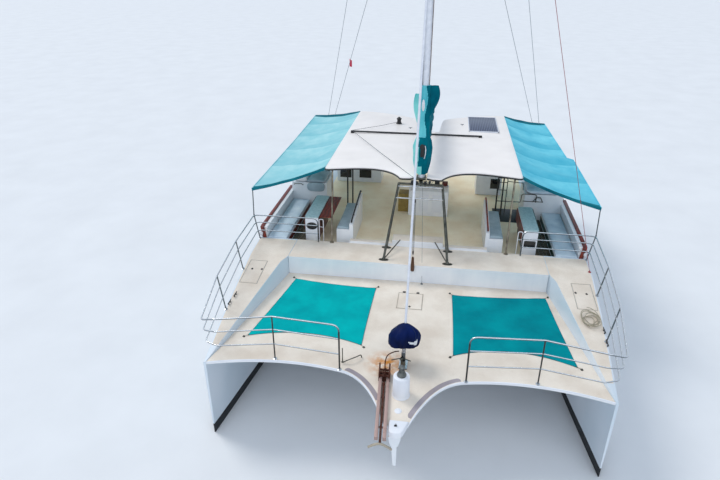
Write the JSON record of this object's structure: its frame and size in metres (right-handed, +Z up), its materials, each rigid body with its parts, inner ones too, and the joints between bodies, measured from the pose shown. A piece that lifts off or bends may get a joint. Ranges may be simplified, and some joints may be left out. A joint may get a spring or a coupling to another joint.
{
  "type": "sailing catamaran",
  "caption": "Day-charter sailing catamaran with twin hulls, scalloped foredeck with nose, open cockpit under a hard roof with side awnings, mast and covered boom.",
  "frame": {"origin": "on the waterline and the centreline, straight below the two bows", "axes": "+X towards the bow, +Y to port, +Z up"},
  "size_m": [16.7544, 9.2862, 20.14],
  "materials": {
    "gelcoat": "white gelcoat, weathered gloss",
    "nonskid": "cream non-slip deck paint",
    "cushion": "pale blue-grey vinyl",
    "steel": "polished stainless tube",
    "dark_steel": "dark painted tube",
    "alloy": "white and silver anodised",
    "turquoise_fabric": "coated awning cloth",
    "teal_fabric": "woven mesh sun cover",
    "dark_teal_fabric": "acrylic sail cover cloth",
    "navy_fabric": "coated bag cloth",
    "mahogany": "varnished mahogany",
    "rusty_steel": "galvanised, rusted",
    "solar_glass": "dark cells under glass",
    "black_plastic": "black anodised and plastic",
    "antifouling": "black antifouling paint",
    "bronze": "cast bronze",
    "rope": "weathered laid rope"
  },
  "bodies": {
    "hull": {"hull_port": "gelcoat", "hull_starboard": "gelcoat", "cockpit_side_port": "gelcoat", "cockpit_side_starboard": "gelcoat", "inboard_bench_port": "gelcoat", "inboard_bench_starboard": "gelcoat", "aft_locker_port": "gelcoat", "aft_locker_starboard": "gelcoat", "bench_cushion_port": "cushion", "bench_cushion_starboard": "cushion", "table_port": "cushion", "table_starboard": "cushion", "inboard_cushion_port": "cushion", "inboard_cushion_starboard": "cushion", "rail_port": "steel", "rail_starboard": "steel", "awning_frame_port": "steel", "awning_frame_starboard": "steel", "shroud_port": "steel", "shroud_starboard": "steel", "backstay_port": "steel", "backstay_starboard": "steel", "awning_port": "turquoise_fabric", "awning_starboard": "turquoise_fabric", "sun_cover_port": "teal_fabric", "sun_cover_starboard": "teal_fabric", "foredeck": "nonskid", "bridge_deck": "nonskid", "console": "gelcoat", "roof": "gelcoat", "roof_frame": "dark_steel", "mast_support": "dark_steel", "mast": "alloy", "mast_cover": "dark_teal_fabric", "stem_fitting": "steel", "pedestal": "gelcoat", "anchor_channels": "rusty_steel", "anchor": "rusty_steel", "solar_panel": "solar_glass", "mainsheet_track": "black_plastic", "mooring_rope": "rope"},
    "furler": {"forestay": "alloy", "furler_bag": "navy_fabric"},
    "boom": {"boom": "alloy", "boom_cover": "dark_teal_fabric"},
    "capstan": {"capstan": "steel"},
    "helm_wheel": {"helm_wheel": "steel"},
    "rudder_port": {"rudder_port": "antifouling"},
    "rudder_starboard": {"rudder_starboard": "antifouling"},
    "propeller_port": {"propeller_port": "bronze"},
    "propeller_starboard": {"propeller_starboard": "bronze"},
    "hatch_centre": {"hatch_centre": "nonskid"},
    "hatch_side_port": {"hatch_side_port": "nonskid"},
    "hatch_side_starboard": {"hatch_side_starboard": "nonskid"},
    "leaf_inner_starboard": {"leaf_inner_starboard": "mahogany"},
    "leaf_outer_starboard": {"leaf_outer_starboard": "mahogany"},
    "leaf_inner_port": {"leaf_inner_port": "mahogany"},
    "leaf_outer_port": {"leaf_outer_port": "mahogany"}
  },
  "joints": [
    {"name": "rudder_port_turn", "type": "hinge", "parent": "hull", "child": "rudder_port", "pos_m": [-14.33, 4.015, -0.7], "axis": [0, 0, 1], "range_deg": [-35, 35]},
    {"name": "rudder_starboard_turn", "type": "hinge", "parent": "hull", "child": "rudder_starboard", "pos_m": [-14.33, -4.015, -0.7], "axis": [0, 0, 1], "range_deg": [-35, 35]},
    {"name": "helm_wheel_turn", "type": "hinge", "parent": "hull", "child": "helm_wheel", "pos_m": [-8.62, 0.175, 2.95], "axis": [1, 0, 0], "range_deg": [-540, 540]},
    {"name": "boom_swing", "type": "hinge", "parent": "hull", "child": "boom", "pos_m": [-5.665, 0, 5.05], "axis": [0, 0, 1], "range_deg": [-65, 65]},
    {"name": "propeller_port_spin", "type": "hinge", "parent": "hull", "child": "propeller_port", "pos_m": [-12.15, 4.01, -0.74], "axis": [0.982, 0, 0.1891], "continuous": true},
    {"name": "propeller_starboard_spin", "type": "hinge", "parent": "hull", "child": "propeller_starboard", "pos_m": [-12.15, -4.01, -0.74], "axis": [0.982, 0, 0.1891], "continuous": true},
    {"name": "furler_turn", "type": "hinge", "parent": "hull", "child": "furler", "pos_m": [-0.56, 0, 2.43], "axis": [-0.4002, 0, 0.9164], "continuous": true},
    {"name": "capstan_turn", "type": "hinge", "parent": "hull", "child": "capstan", "pos_m": [0.39, 0.03, 2.6], "axis": [0, 0, 1], "continuous": true},
    {"name": "leaf_inner_starboard_fold", "type": "hinge", "parent": "hull", "child": "leaf_inner_starboard", "pos_m": [-6.2, -2.847, 3.063], "axis": [-1, 0, 0], "range_deg": [0, 90]},
    {"name": "leaf_outer_starboard_fold", "type": "hinge", "parent": "hull", "child": "leaf_outer_starboard", "pos_m": [-6.2, -3.253, 3.063], "axis": [-1, 0, 0], "range_deg": [0, 90]},
    {"name": "leaf_inner_port_fold", "type": "hinge", "parent": "hull", "child": "leaf_inner_port", "pos_m": [-6.2, 2.847, 3.063], "axis": [-1, 0, 0], "range_deg": [0, 90]},
    {"name": "leaf_outer_port_fold", "type": "hinge", "parent": "hull", "child": "leaf_outer_port", "pos_m": [-6.2, 3.253, 3.063], "axis": [1, 0, 0], "range_deg": [0, 90]},
    {"name": "hatch_centre_open", "type": "hinge", "parent": "hull", "child": "hatch_centre", "pos_m": [-3.389, -0.035, 2.006], "axis": [0, -1, 0], "range_deg": [0, 100]},
    {"name": "hatch_side_port_open", "type": "hinge", "parent": "hull", "child": "hatch_side_port", "pos_m": [-3.704, 4.115, 2.46943], "axis": [0, -1, 0], "range_deg": [0, 100]},
    {"name": "hatch_side_starboard_open", "type": "hinge", "parent": "hull", "child": "hatch_side_starboard", "pos_m": [-3.704, -4.115, 2.46943], "axis": [0, -1, 0], "range_deg": [0, 100]}
  ],
  "couplings": [
    {"joint": "rudder_starboard_turn", "follows": "rudder_port_turn", "ratio": 1},
    {"joint": "helm_wheel_turn", "follows": "rudder_port_turn", "ratio": 15.4}
  ]
}
